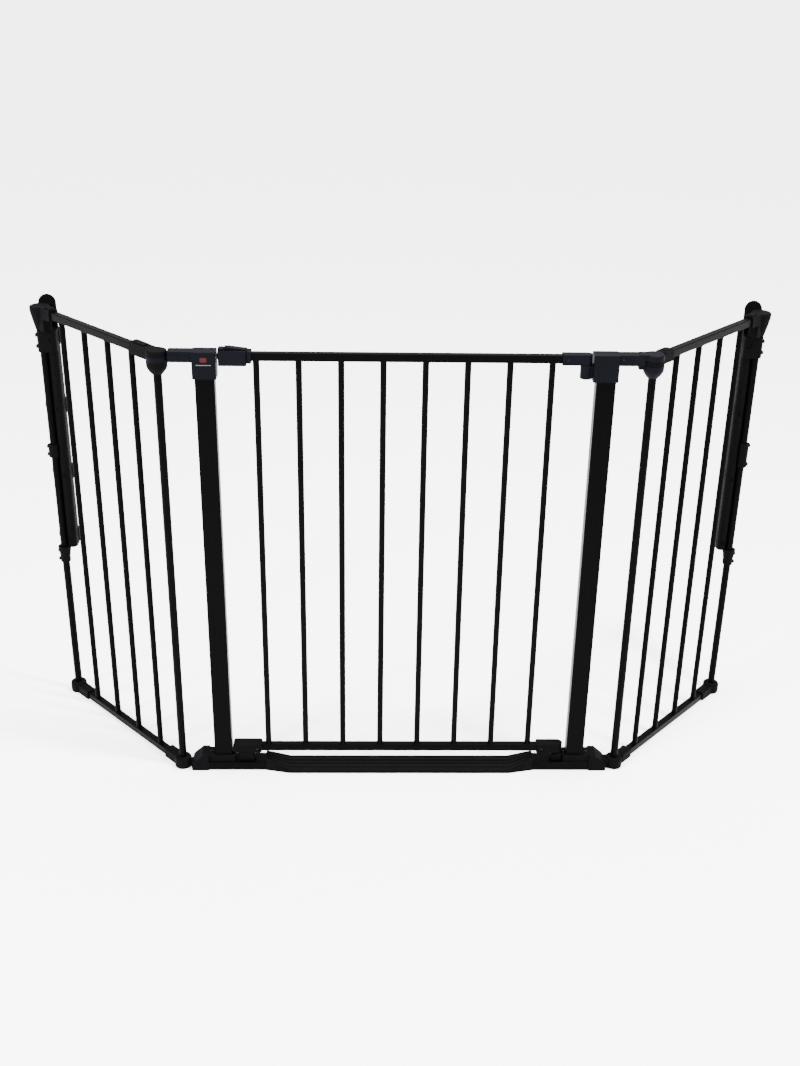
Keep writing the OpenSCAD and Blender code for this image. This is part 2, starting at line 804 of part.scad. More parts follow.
// The wide collar over the channel's top and the half ring at its middle
module wall_clamps(lug_dz) {
    top_hw = (channel_x1 - channel_x0 + 1.3)/2;
    collar_h = collar_z1 - channel_z1;
    color(plastic) {
        difference() {
            union() {
                translate([channel_x1 - top_hw, 4, channel_z1]) linear_extrude(collar_h)
                    round_rect(2*top_hw, 27, 7);
                translate([channel_x0, 10, channel_z1])
                    cube([channel_x1 - channel_x0, plate_y0 - 10, collar_h]);
            }
            translate([0, 0, channel_z1 - 1]) cylinder(r = tube_r + fit, h = 50, $fn = 48);
            plate_holes(access_r, -20, plate_y0 + 1);
        }
        for (z = [channel_z1 + 8, collar_z1 - 8]) lug(z);
        translate([0, 0, clamp_z - lug_dz - 4]) linear_extrude(2*lug_dz + 8) difference() {
            intersection() {
                circle(r = 9.6, $fn = 48);
                translate([-20, -20]) square([20 + groove_r, 20 + lip_y]);
            }
            circle(r = tube_r + fit, $fn = 48);
        }
        for (dz = [-lug_dz, lug_dz]) lug(clamp_z + dz);
    }
}

// Tapers from the channel's outline to a ring round the post
module wall_collar() {
    color(plastic) difference() {
        union() {
            hull() {
                translate([0, 0, channel_z0 - 1]) linear_extrude(1) channel_outline();
                translate([0, 0, ring_z1 - 1]) cylinder(r = ring_r, h = 1, $fn = 48);
            }
            translate([0, 0, ring_z0]) cylinder(r = ring_r, h = ring_z1 - ring_z0, $fn = 48);
            lug(ring_z0 + 5);
        }
        translate([0, 0, ring_z0 - 1]) cylinder(r = tube_r + fit, h = 50, $fn = 48);
    }
}

module left_wall_plate() { at_left_wall() wall_plate(); }
module left_wall_channel() { at_left_wall() wall_channel(); }
module left_wall_clamps() { at_left_wall() wall_clamps(7); }
module left_wall_collar() { at_left_wall() wall_collar(); }
module right_wall_plate() { at_right_wall() wall_plate(); }
module right_wall_channel() { at_right_wall() wall_channel(); }
module right_wall_clamps() { at_right_wall() wall_clamps(17); }
module right_wall_collar() { at_right_wall() wall_collar(); }

threshold_ramp();
left_threshold_bar();
right_threshold_bar();
left_post();
right_post();
left_post_cover();
right_post_cover();
left_base_block();
right_base_block();
right_junction_post();
bottom_catch();
upper_hinge_socket();
lower_hinge_lug();
lower_hinge_pin();
badge();
base_screws();
cover_screw();
upper_hinge_pin();
door_top_rail();
door_bottom_rail();
door_bars();
upper_hinge_cap();
lower_hinge_cap();
bottom_corner_block();
lock_housing();
lock_cover();
lock_collar();
lock_spring();
door_screws();
lock_slider();
left_top_rail();
left_bottom_rail();
left_bars();
left_corner_cap();
left_junction_post();
left_foot();
left_wall_cap();
left_wall_post();
left_wall_foot();
right_top_rail();
right_bottom_rail();
right_bars();
right_top_knuckle();
right_foot_knuckle();
right_wall_cap();
right_wall_post();
right_wall_foot();
left_wall_plate();
left_wall_channel();
left_wall_clamps();
left_wall_collar();
right_wall_plate();
right_wall_channel();
right_wall_clamps();
right_wall_collar();
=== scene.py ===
# %% [markdown]
# # A folding safety gate
# The gate's frame, door, panels and wall brackets come in as fixed solids that already move on
# their joints. This lesson dresses them: plastic mouldings get soft edges, tubes get their weld
# beads, holes get their plugs, and every surface gets a finish made of nodes. The frame is
# loaded first, because every later piece takes its place and size from it.

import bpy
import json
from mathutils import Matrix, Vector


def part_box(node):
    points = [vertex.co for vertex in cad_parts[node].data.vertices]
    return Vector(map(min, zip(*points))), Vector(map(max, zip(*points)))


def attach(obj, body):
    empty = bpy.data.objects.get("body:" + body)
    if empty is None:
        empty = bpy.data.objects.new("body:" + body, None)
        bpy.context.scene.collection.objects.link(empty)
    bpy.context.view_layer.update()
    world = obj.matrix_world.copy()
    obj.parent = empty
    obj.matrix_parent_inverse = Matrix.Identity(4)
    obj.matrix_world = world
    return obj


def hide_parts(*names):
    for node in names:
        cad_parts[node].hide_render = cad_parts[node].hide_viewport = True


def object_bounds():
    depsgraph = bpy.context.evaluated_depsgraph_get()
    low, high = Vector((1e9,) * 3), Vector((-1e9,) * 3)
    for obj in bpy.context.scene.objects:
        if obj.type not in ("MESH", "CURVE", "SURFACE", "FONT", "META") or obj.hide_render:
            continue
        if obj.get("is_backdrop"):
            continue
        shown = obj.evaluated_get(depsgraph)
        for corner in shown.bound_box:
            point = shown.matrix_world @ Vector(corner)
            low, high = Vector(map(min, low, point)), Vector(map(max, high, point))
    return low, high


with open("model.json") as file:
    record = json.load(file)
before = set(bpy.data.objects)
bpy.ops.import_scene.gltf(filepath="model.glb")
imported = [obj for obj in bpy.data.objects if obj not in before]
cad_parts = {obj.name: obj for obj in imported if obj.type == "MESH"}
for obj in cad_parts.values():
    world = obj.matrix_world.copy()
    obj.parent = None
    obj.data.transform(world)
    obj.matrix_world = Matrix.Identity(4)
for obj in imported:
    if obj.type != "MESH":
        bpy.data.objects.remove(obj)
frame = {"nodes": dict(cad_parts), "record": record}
cad_low, cad_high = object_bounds()
print("nodes:", len(frame["nodes"]))

# %% [markdown]
# ## Modules and units
# `bpy` models and shades, `bmesh` picks faces in edit mode, and `mathutils` brings vectors and
# matrices. Blender works in metres and a gate is drawn in millimetres, so `MM` turns one into
# the other. Most of the gate is the same on its left and its right, and `SIDES` names the two.

# %% Modules and units
import json
import math

import bmesh
import bpy
from mathutils import Matrix, Vector

MM = 0.001
SIDES = ("left", "right")
print("gate is", [round(v, 3) for v in cad_high - cad_low], "m")

# %% [markdown]
# ## The camera
# A tall gate is best looked at from a standing adult's eye height, a little to one side of its
# middle and looking down at it. A camera could track an empty, but then its roll would be out of
# our hands. A camera object looks along its own -Z axis, so we build its three axes from a
# heading, a tilt and a small roll, and put them into its matrix.

# %% Camera
EYE = Vector((-0.0536, -1.7816, 1.2529))
HEADING = math.radians(1.56)
TILT = math.radians(24.83)
ROLL = math.radians(0.95)
LENS = 43.16
SENSOR = 36

forward = Vector((
    math.sin(HEADING) * math.cos(TILT),
    math.cos(HEADING) * math.cos(TILT),
    -math.sin(TILT)))
level_right = Vector((math.cos(HEADING), -math.sin(HEADING), 0))
level_up = level_right.cross(forward)
right = level_right * math.cos(ROLL) + level_up * math.sin(ROLL)
up = level_up * math.cos(ROLL) - level_right * math.sin(ROLL)

bpy.ops.object.camera_add()
camera = bpy.context.object
camera.data.lens = LENS
camera.data.sensor_width = SENSOR
camera.matrix_world = Matrix((
    (right.x, up.x, -forward.x, EYE.x),
    (right.y, up.y, -forward.y, EYE.y),
    (right.z, up.z, -forward.z, EYE.z),
    (0, 0, 0, 1)))
bpy.context.scene.camera = camera
print("camera at", tuple(round(v, 3) for v in EYE))

# %% [markdown]
# ## The floor
# The gate stands on one plain floor. A curved studio backdrop is the usual way to hide where the
# floor ends; a flat plane that runs far past the view is simpler, and its edge is never seen. It
# lies a hair below the feet, so that no two faces share a plane.

# %% Floor
FLOOR_SIZE = 120
FLOOR_DROP = 0.5 * MM

bpy.ops.object.select_all(action="DESELECT")
bpy.ops.mesh.primitive_plane_add(size=FLOOR_SIZE, location=(0, 0, -FLOOR_DROP))
floor = bpy.context.object
floor.name = "studio_floor"
floor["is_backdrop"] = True
print("floor is", FLOOR_SIZE, "m across")

# %% [markdown]
# ## Room light
# Black parts are only readable by what they reflect. The studio is a pale floor under a bright
# ceiling, so the gate stands out as a dark drawing. The walls are dimmer than the ceiling: they
# are what flat top faces mirror at a low angle, and those should stay dark. The room could be a
# box of glowing planes; here it is only the world's background, whose strength rises with height
# through a smooth Map Range.

# %% Room
ROOM_WALLS = 1.3
ROOM_TOP = 8.2
FADE_LOW = 0.44
FADE_HIGH = 0.84

world = bpy.data.worlds.new("pale_room")
bpy.context.scene.world = world
world.use_nodes = True
sky = world.node_tree
background = sky.nodes["Background"]
background.inputs["Color"].default_value = (1, 1, 1, 1)
direction = sky.nodes.new("ShaderNodeTexCoord")
height = sky.nodes.new("ShaderNodeSeparateXYZ")
fade = sky.nodes.new("ShaderNodeMapRange")
fade.interpolation_type = "SMOOTHSTEP"
fade.inputs["From Min"].default_value = FADE_LOW
fade.inputs["From Max"].default_value = FADE_HIGH
fade.inputs["To Min"].default_value = ROOM_WALLS
fade.inputs["To Max"].default_value = ROOM_TOP
sky.links.new(direction.outputs["Generated"], height.inputs["Vector"])
sky.links.new(height.outputs["Z"], fade.inputs["Value"])
sky.links.new(fade.outputs["Result"], background.inputs["Strength"])
print("room strength", ROOM_WALLS, "to", ROOM_TOP)

# %% [markdown]
# ## Two lamps
# Light from all round leaves a black moulding flat. A soft key lamp from the left front models
# the plastic, and a small lamp overhead draws the thin pale lines along the rounded edges of
# rails and caps. Area lamps are used because their size sets how soft those lines are.


# %% Lamps
def soft_light(name, place, aim, size, power):
    """A square area light at place that looks at aim."""
    bpy.ops.object.light_add(type="AREA", location=place)
    lamp = bpy.context.object
    lamp.name = name
    lamp.data.size = size
    lamp.data.energy = power
    lamp.rotation_euler = (Vector(aim) - Vector(place)).to_track_quat("-Z", "Y").to_euler()


soft_light("key_light", place=(-2.3, -1.9, 1.9), aim=(-0.3, 0, 0.6), size=0.6, power=270)
soft_light("edge_light", place=(0.9, -0.35, 2.5), aim=(0.3, 0.1, 0.7), size=0.25, power=190)

# %% [markdown]
# ## A small language for materials: sums
# Node trees are sums on sockets. They could be added and linked one node at a time, but the sum
# would be lost among the links. `Wire` holds one output socket and lets Python's own operators
# add the Math nodes, so `1 - mask * 0.3` is a real part of the tree.


# %% Wire
class Wire:
    """One output socket that sums can be done with."""

    def __init__(self, finish, socket):
        self.finish = finish
        self.socket = socket

    def sum(self, operation, *others):
        """Adds a Math node, with this wire first."""
        values = dict(enumerate((self, *others)))
        return self.finish.node("ShaderNodeMath", {"operation": operation}, values)

    def __add__(self, other):
        return self.sum("ADD", other)

    __radd__ = __add__

    def __mul__(self, other):
        return self.sum("MULTIPLY", other)

    __rmul__ = __mul__

    def __sub__(self, other):
        return self.sum("SUBTRACT", other)

    def __rsub__(self, other):
        return (self * -1) + other

    def step(self, low, high):
        """0 below low, 1 above high, smooth between."""
        return self.finish.node(
            "ShaderNodeMapRange", {"interpolation_type": "SMOOTHSTEP"},
            {"Value": self, "From Min": low, "From Max": high})


print("sums are ready")

# %% [markdown]
# ## A small language for materials: nodes
# `Finish` makes a material and adds every other node from its type, its settings and the values
# or wires of its sockets. Patterns read Object coordinates, which are metres on the piece itself,
# so a grain keeps its size on a long rail and on a small cap, and rides along when a joint moves.


# %% Finish
class Finish:
    """One material's node tree."""

    def __init__(self, name):
        self.material = bpy.data.materials.new(name)
        self.material.use_nodes = True
        self.tree = self.material.node_tree
        self.tree.nodes.clear()
        self.output = self.tree.nodes.new("ShaderNodeOutputMaterial")

    def node(self, kind, settings=None, values=None, out=0):
        """Adds a node; settings are set first, then the values or wires of its sockets."""
        made = self.tree.nodes.new(kind)
        for key, value in (settings or {}).items():
            setattr(made, key, value)
        for key, value in (values or {}).items():
            if isinstance(value, Wire):
                self.tree.links.new(value.socket, made.inputs[key])
            else:
                made.inputs[key].default_value = value
        return Wire(self, made.outputs[out])

    def place(self, stretch=(1, 1, 1)):
        """Where a surface point is on the object, in metres, stretched along X, Y and Z."""
        point = self.node("ShaderNodeTexCoord", out="Object")
        return self.node("ShaderNodeMapping", {}, {"Vector": point, "Scale": stretch})

    def noise(self, scale, detail=2, rough=0.5, stretch=(1, 1, 1)):
        """Noise with about scale lumps to the metre."""
        return self.node(
            "ShaderNodeTexNoise", {},
            {"Vector": self.place(stretch), "Scale": scale, "Detail": detail,
             "Roughness": rough})

    def mix(self, factor, a, b):
        """Colour a where factor is 0 and b where it is 1."""
        return self.node(
            "ShaderNodeMix", {"data_type": "RGBA"},
            {"Factor": factor, "A": a, "B": b}, out="Result")

    def edges(self, radius):
        """1 on sharp outer edges, 0 on flats: how far a rounded normal turns from the true one."""
        soft = self.node("ShaderNodeBevel", {"samples": 4}, {"Radius": radius})
        true = self.node("ShaderNodeNewGeometry", out="Normal")
        same = self.node(
            "ShaderNodeVectorMath", {"operation": "DOT_PRODUCT"}, {0: soft, 1: true},
            out="Value")
        return 1 - same

    def bump(self, height, depth):
        """A Normal that makes height's lumps look depth metres deep."""
        return self.node(
            "ShaderNodeBump", {}, {"Height": height, "Distance": depth, "Strength": 1.0})

    def close(self, **values):
        """Ends the tree in one Principled shader. Names use _ for a space."""
        shader = self.node(
            "ShaderNodeBsdfPrincipled", {}, {k.replace("_", " "): v for k, v in values.items()})
        self.tree.links.new(shader.socket, self.output.inputs["Surface"])
        return self.material


print("material tools are ready")

# %% [markdown]
# ## Floor finish
# The floor is a matt pale paper. A single grey would do, but a very faint grain keeps it from
# looking like an empty page, and the gate's own shadow reads softly on it.


# %% Floor finish
def pale_paper():
    f = Finish("pale_paper")
    grain = f.noise(300)
    shade = f.mix(grain, (0.92, 0.92, 0.92, 1), (0.95, 0.95, 0.95, 1))
    return f.close(Base_Color=shade, Roughness=0.9)


floor.data.materials.append(pale_paper())
print("floor finish done")

# %% [markdown]
# ## Powder-coated steel
# The tubes are powder coated: a black skin that has melted into a very fine orange peel, satin
# rather than glossy. Two sizes of noise give the peel and its unevenness, and a few grains of
# dust lie on it. On outer edges the skin is thin and rubbed, so an edge mask broken up by noise
# makes them a little lighter and smoother. The walk-over strip has the same coat in a paler black,
# a painted sheen that stands in for the highlights along its ribs, so both come from one function.


# %% Powder coat
def powder_coat(name, dark, light):
    f = Finish(name)
    peel = f.noise(1400, detail=3, rough=0.6)
    swell = f.noise(90)
    dust = f.noise(4200, detail=1).step(low=0.66, high=0.8)
    rub = f.edges(1.2 * MM) * 2.2 * f.noise(260, detail=4, rough=0.7)
    worn = rub.step(low=0.12, high=0.7)
    base = f.mix(swell, dark, light)
    base = f.mix(dust * 0.3, base, (0.0022, 0.0022, 0.0024, 1))
    base = f.mix(worn * 0.5, base, (0.004, 0.004, 0.0046, 1))
    rough = 0.27 + swell * 0.08 + peel * 0.05 + dust * 0.08 - worn * 0.06
    normal = f.bump(peel * 0.7 + swell * 0.3, 0.14 * MM)
    return f.close(Base_Color=base, Roughness=rough, Normal=normal, Specular_IOR_Level=0.012)


steel = powder_coat(
    "black_powder_coat", dark=(0.00026, 0.00026, 0.0003, 1), light=(0.0006, 0.00055, 0.00066, 1))
# Painted sheen: the strip's paler colours stand in for the highlights along its ribs.
strip_sheen_steel = powder_coat(
    "strip_sheen_coat", dark=(0.0009, 0.00086, 0.00095, 1), light=(0.0018, 0.0017, 0.0019, 1))
print("coats:", steel.name, "and", strip_sheen_steel.name)

# %% [markdown]
# ## Moulded plastic
# The mouldings are all one injection-moulded nylon, made here as two copies: a lighter, bluer
# one paints light on the covers of the uprights, the lock and the upper hinge, and a darker,
# duller one paints shade on the corners and all parts near the floor and the wall. The mould is
# spark eroded, which leaves a fine pebbled grain. Cells and noise together make that grain; flow
# marks change the gloss slowly over a few centimetres, and handled edges are a touch brighter.
# The two copies differ only in colour and gloss, so one function makes both.


# %% Moulded plastic
def moulded_plastic(name, dark, light, dullness):
    f = Finish(name)
    pebble = f.node(
        "ShaderNodeTexVoronoi", {"feature": "SMOOTH_F1"},
        {"Vector": f.place(), "Scale": 1500.0, "Smoothness": 0.8}, out="Distance")
    fine = f.noise(3800, rough=0.6)
    flow = f.noise(28, stretch=(1, 1, 0.5))
    rub = f.edges(1 * MM) * 2.0 * f.noise(300, detail=4, rough=0.7)
    worn = rub.step(low=0.1, high=0.7)
    base = f.mix(flow, dark, light)
    base = f.mix(worn * 0.45, base, (0.0055, 0.0058, 0.0082, 1))
    rough = dullness + flow * 0.1 + fine * 0.06 - worn * 0.08
    normal = f.bump(pebble * 0.6 + fine * 0.4, 0.12 * MM)
    return f.close(Base_Color=base, Roughness=rough, Normal=normal, Specular_IOR_Level=0.022)


# Painted light and shade: the lighter, bluer copy stands for light on the upper mouldings, the
# darker one for shade on those low down and at the wall.
lit_plastic = moulded_plastic(
    "lit_blue_nylon", dark=(0.00068, 0.00075, 0.0014, 1), light=(0.00145, 0.00165, 0.0029, 1),
    dullness=0.46)
shaded_plastic = moulded_plastic(
    "shaded_black_nylon", dark=(0.00035, 0.00035, 0.00045, 1), light=(0.0008, 0.0008, 0.00105, 1),
    dullness=0.66)
print("plastics:", lit_plastic.name, "and", shaded_plastic.name)

# %% [markdown]
# ## Screws and pins
# Small steel parts are zinc plated and passivated black: a dark metal with a faint mottle. Noise
# squeezed along one axis gives the fine lines that turning leaves, and only bumps them slightly.


# %% Zinc
def zinc_plate():
    f = Finish("zinc_plate")
    mottle = f.noise(700, detail=3, rough=0.6)
    lines = f.noise(2500, stretch=(1, 1, 0.08))
    base = f.mix(mottle, (0.003, 0.003, 0.0034, 1), (0.009, 0.009, 0.01, 1))
    rough = 0.28 + mottle * 0.16 + lines * 0.1
    normal = f.bump(lines, 0.03 * MM)
    return f.close(Base_Color=base, Roughness=rough, Metallic=1.0, Normal=normal)


zinc = zinc_plate()
print("metal:", zinc.name)

# %% [markdown]
# ## Badge and printed line
# The left cover carries a small red pad, with a thin pale line printed below it. The pad is
# enamel: a little deeper in colour round its rim, where it runs thin, and with a slight grain.
# The line is pad-printed ink, and a stepped noise leaves it a few worn spots.


# %% Badge and print
def badge_enamel():
    f = Finish("badge_red")
    grain = f.noise(1800)
    rim = f.edges(0.9 * MM).step(low=0.05, high=0.5)
    base = f.mix(rim * 0.6, (0.021, 0.0004, 0.0006, 1), (0.011, 0.0003, 0.0004, 1))
    base = f.mix(grain * 0.15, base, (0.03, 0.0015, 0.0016, 1))
    normal = f.bump(grain, 0.03 * MM)
    return f.close(
        Base_Color=base, Roughness=0.3 + grain * 0.1, Normal=normal, Specular_IOR_Level=0.1)


def pale_print():
    f = Finish("pale_print")
    worn = f.noise(1200, detail=3, rough=0.6).step(low=0.6, high=0.75)
    base = f.mix(worn, (0.032, 0.032, 0.034, 1), (0.015, 0.015, 0.017, 1))
    normal = f.bump(worn, 0.02 * MM)
    return f.close(Base_Color=base, Roughness=0.45 + worn * 0.15, Normal=normal)


red = badge_enamel()
ink = pale_print()
print("badge:", red.name, "and", ink.name)

# %% [markdown]
# ## Dress the solids
# Each solid of the frame names a slot, such as powder coat or zinc, and each slot has one finish.
# Solids whose shape is already right, such as posts, rails, bars and screws, need nothing more.

# %% Dress the solids
record = frame["record"]
finishes = {
    "powder_coat": steel,
    # Painted light: every plastic solid first takes the lighter plastic copy.
    "black_plastic": lit_plastic,
    "zinc": zinc,
    "badge_red": red,
}
slots = {part["node"]: part["material_slot"] for part in record["subparts"]}


def finish_with(piece, finish):
    """Gives piece one finish in place of any it had."""
    piece.data.materials.clear()
    piece.data.materials.append(finish)


for name, node in frame["nodes"].items():
    finish_with(node, finishes[slots[name]])
print("dressed", len(slots), "nodes")

# %% [markdown]
# ## Copy and merge
# No moulded part has a knife edge, and the solids do. They must not be changed, so each plastic
# piece starts as a copy. A solid's mesh is loose triangles: in the copy its doubles are merged
# and its flat regions are dissolved into single faces, which leaves only real edges to round.

# %% Copy and merge
MERGE = 0.02 * MM
FLAT_ANGLE = math.radians(1)


def only(piece):
    """Makes piece the one selected and active object."""
    bpy.ops.object.select_all(action="DESELECT")
    piece.hide_set(False)
    piece.select_set(True)
    bpy.context.view_layer.objects.active = piece


def start_edit(piece, pick="SELECT"):
    """Goes into edit mode on piece, with everything or nothing selected."""
    only(piece)
    bpy.ops.object.mode_set(mode="EDIT")
    bpy.ops.mesh.select_all(action=pick)


def end_edit():
    bpy.ops.object.mode_set(mode="OBJECT")


def merged_copy(node, name):
    """A new mesh object with the node's shape, its doubles merged and its flats dissolved."""
    source = frame["nodes"][node]
    piece = bpy.data.objects.new(name, source.data.copy())
    bpy.context.scene.collection.objects.link(piece)
    only(piece)
    if piece.data.has_custom_normals:
        bpy.ops.mesh.customdata_custom_splitnormals_clear()
    start_edit(piece)
    bpy.ops.mesh.remove_doubles(threshold=MERGE)
    bpy.ops.mesh.dissolve_limited(angle_limit=FLAT_ANGLE)
    end_edit()
    return piece


print("merging points closer than", MERGE / MM, "mm")

# %% [markdown]
# ## Soft-edged mouldings
# A Bevel modifier rounds every edge that is sharper than a limit. Bevelling by hand would need
# each edge picked, and subdivision would melt the flats; the angle limit does neither. Weighted
# normals then keep the large faces shading flat. The copy takes the solid's place and rides on
# the same body. The low blocks, where feet and small children come by, have bolder edges.

# %% Round the mouldings
SMOOTH_ANGLE = math.radians(30)
EDGE = 0.9 * MM
EDGE_LIMIT = 35
BOLD_EDGES = {
    "bottom_corner_block": 2.2 * MM,
    "bottom_catch": 1.5 * MM,
    "lower_hinge_cap": 1.6 * MM,
    "lower_hinge_lug": 1.5 * MM,
    "left_base_block": 1.3 * MM,
    "right_base_block": 1.3 * MM,
}
bodies_of = {
    node: body
    for body, nodes in record["behaviour"]["bodies"].items()
    for node in nodes}


def rounded(piece, width, segments=3, limit=EDGE_LIMIT):
    """Bevels edges sharper than limit degrees, and keeps the large flat faces shading flat."""
    only(piece)
    bevel = piece.modifiers.new("soft_edges", "BEVEL")
    bevel.width = width
    bevel.segments = segments
    bevel.limit_method = "ANGLE"
    bevel.angle_limit = math.radians(limit)
    bevel.use_clamp_overlap = True
    bpy.ops.object.modifier_apply(modifier=bevel.name)
    bpy.ops.object.shade_smooth_by_angle(angle=SMOOTH_ANGLE)
    flat = piece.modifiers.new("flat_faces", "WEIGHTED_NORMAL")
    flat.keep_sharp = True
    bpy.ops.object.modifier_apply(modifier=flat.name)
    return piece


def moulding(node, width=EDGE, segments=3, limit=EDGE_LIMIT):
    """Replaces a node with its soft-edged copy."""
    piece = rounded(merged_copy(node, node + "_moulding"), width, segments, limit)
    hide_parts(node)
    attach(piece, bodies_of[node])
    return piece


TURNED = {side + "_wall_collar" for side in SIDES}
soft_nodes = sorted(n for n in slots if slots[n] == "black_plastic" and n not in TURNED)
mouldings = {n: moulding(n, BOLD_EDGES.get(n, EDGE)) for n in soft_nodes}
faces = sum(len(piece.data.polygons) for piece in mouldings.values())
print("rounded", len(mouldings), "mouldings,", faces, "faces")

# %% [markdown]
# ## Lit and shaded plastic
# The copies brought the lighter plastic along, which paints light. Only the covers of the two
# uprights, the lock and the upper hinge keep it. All the other mouldings change to the darker
# copy, which paints shade on the parts low down and at the wall.

# %% Shaded mouldings
LIT_NODES = {
    "left_post_cover", "right_post_cover", "lock_housing", "lock_cover", "lock_collar",
    "lock_slider", "upper_hinge_cap", "upper_hinge_socket"}

# Painted shade: all mouldings but the upper ones take the darker plastic copy.
shaded_nodes = [n for n in soft_nodes if n not in LIT_NODES]
for n in shaded_nodes:
    finish_with(mouldings[n], shaded_plastic)
print("plain black mouldings:", len(shaded_nodes))

# %% [markdown]
# ## Helpers for small pieces
# A weld bead, a plug or a screw repeats many times. Each could be an instance, but every piece
# here needs its place in its own mesh. So each is modelled once at the origin and then copied:
# a copy takes its own mesh, is moved inside that mesh, and is joined with its like.

# %% Copy helpers
def select_all_of(pieces):
    """Selects these pieces only, the last one active."""
    bpy.ops.object.select_all(action="DESELECT")
    for piece in pieces:
        piece.select_set(True)
    bpy.context.view_layer.objects.active = pieces[-1]


def settled(piece):
    """Applies the piece's turn, place and scale to its mesh."""
    only(piece)
    bpy.ops.object.transform_apply(location=True, rotation=True, scale=True)


def set_of(master, places, name, body, finish):
    """Copies master once per matrix in places, as one piece that rides on body."""
    made = []
    for matrix in places:
        copy = bpy.data.objects.new(name, master.data.copy())
        copy.data.transform(matrix)
        bpy.context.scene.collection.objects.link(copy)
        made.insert(0, copy)
    select_all_of(made)
    bpy.ops.object.join()
    piece = made[-1]
    piece.name = name
    finish_with(piece, finish)
    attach(piece, body)


def scrap(master):
    bpy.data.objects.remove(master, do_unlink=True)


print("helpers for small pieces are ready")

# %% [markdown]
# ## Where the panels stand
# Each side panel runs from a round post at the gate's corner to a round post at the wall, and
# both posts turn on joints. The joints' own positions therefore give the panel's line, and
# nothing about it is typed in by hand.

# %% Panel lines
joints = {j["name"]: j for j in record["behaviour"]["joints"]}


def panel_line(side):
    """The feet of a panel's corner post and wall post, and the unit vector between them."""
    near = Vector(joints[side + "_panel_fold"]["pos_m"])
    far = Vector(joints[side + "_bracket_swivel"]["pos_m"])
    near.z = far.z = 0
    return near, far, (far - near).normalized()


for side in SIDES:
    near, far, along = panel_line(side)
    print(side, "panel is", round((far - near).length / MM, 1), "mm between posts")

# %% [markdown]
# ## One weld bead
# Every bar is welded to its rails all round, and the powder coat runs smoothly over the bead. A
# bead could be a bump in the finish, but it has a real outline. It is a torus, flattened, with
# its points shaken a little so that it looks laid by hand. Half of it is sunk in the rail.

# %% Weld bead
BEAD_R = 1.0 * MM
BEAD_GAP = 0.1 * MM
BEAD_FLATTEN = 0.9
BEAD_SHAKE = 0.1 * MM

door_bar_low, door_bar_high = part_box("door_bars")
bar_r = (door_bar_high.y - door_bar_low.y) / 2

bpy.ops.object.select_all(action="DESELECT")
bpy.ops.mesh.primitive_torus_add(
    major_radius=bar_r + BEAD_GAP, minor_radius=BEAD_R, major_segments=40, minor_segments=12)
bead = bpy.context.object
bead.name = "weld_bead"
start_edit(bead)
bpy.ops.transform.resize(value=(1, 1, BEAD_FLATTEN))
bpy.ops.transform.vertex_random(offset=BEAD_SHAKE, uniform=0.5, normal=0.5, seed=4)
end_edit()
bpy.ops.object.shade_smooth()
print("bead round a bar of radius", round(bar_r / MM, 2), "mm")

# %% [markdown]
# ## Beads at every bar
# The door's bars are evenly spaced between the ends of their box, and a panel's bars are evenly
# spaced between its two posts. Each bar gets a bead under the top rail and one on the bottom
# rail. The beads of the door move with the door, and those of a panel with that panel.

# %% Set the beads
DOOR_BARS = 8
PANEL_BARS = 4


def bead_places(feet, top_rail, bottom_rail):
    """A bead under the top rail and one on the bottom rail for each bar's foot point."""
    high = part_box(top_rail)[0].z
    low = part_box(bottom_rail)[1].z
    return [Matrix.Translation((foot.x, foot.y, z)) for foot in feet for z in (low, high)]


first_bar = door_bar_low.x + bar_r
bar_step = (door_bar_high.x - door_bar_low.x - 2 * bar_r) / (DOOR_BARS - 1)
door_feet = [Vector((first_bar + i * bar_step, 0, 0)) for i in range(DOOR_BARS)]
set_of(bead, bead_places(door_feet, "door_top_rail", "door_bottom_rail"),
       "door_weld_beads", "door", steel)

for side in SIDES:
    near, far, along = panel_line(side)
    feet = [near.lerp(far, i / (PANEL_BARS + 1)) for i in range(1, PANEL_BARS + 1)]
    set_of(bead, bead_places(feet, side + "_top_rail", side + "_bottom_rail"),
           side + "_weld_beads", side + "_panel", steel)
scrap(bead)
bars = DOOR_BARS + 2 * PANEL_BARS
print("bars:", bars, "with", 2 * bars, "beads")

# %% [markdown]
# ## Collars under the wall brackets
# A collar runs on the wall post under each bracket. A Screw modifier on a profile would turn it;
# here one open circle is extruded, which shows each step of the shape: out to the ring, up, up to
# a funnel, in to the bore, and down the bore to where it began. Two small lugs stand on its outer
# side. This is a stand-in and not a match: the solid that it replaces also tapers across to the
# foot of the channel, and this one doesn't. Its radii were chosen.

# %% Bracket collars
BORE_R = 6.35 * MM
RING_R = 8.6 * MM
RING_H = 10 * MM
FUNNEL_R = 11.4 * MM
COLLAR_EDGE = 0.7 * MM
WELD = 0.01 * MM
LUG = (3.4 * MM, 6 * MM, 4.6 * MM)
LUG_OUT = 1.2 * MM
LUG_HEIGHTS = (5 * MM, 21 * MM)
LUG_EDGE = 0.6 * MM


def grow_loop(rise, radius, from_radius):
    """Extrudes the selected loop by rise, then scales it from one radius to another."""
    bpy.ops.mesh.extrude_region_move(TRANSFORM_OT_translate={"value": (0, 0, rise)})
    ratio = radius / from_radius
    bpy.ops.transform.resize(value=(ratio, ratio, 1))


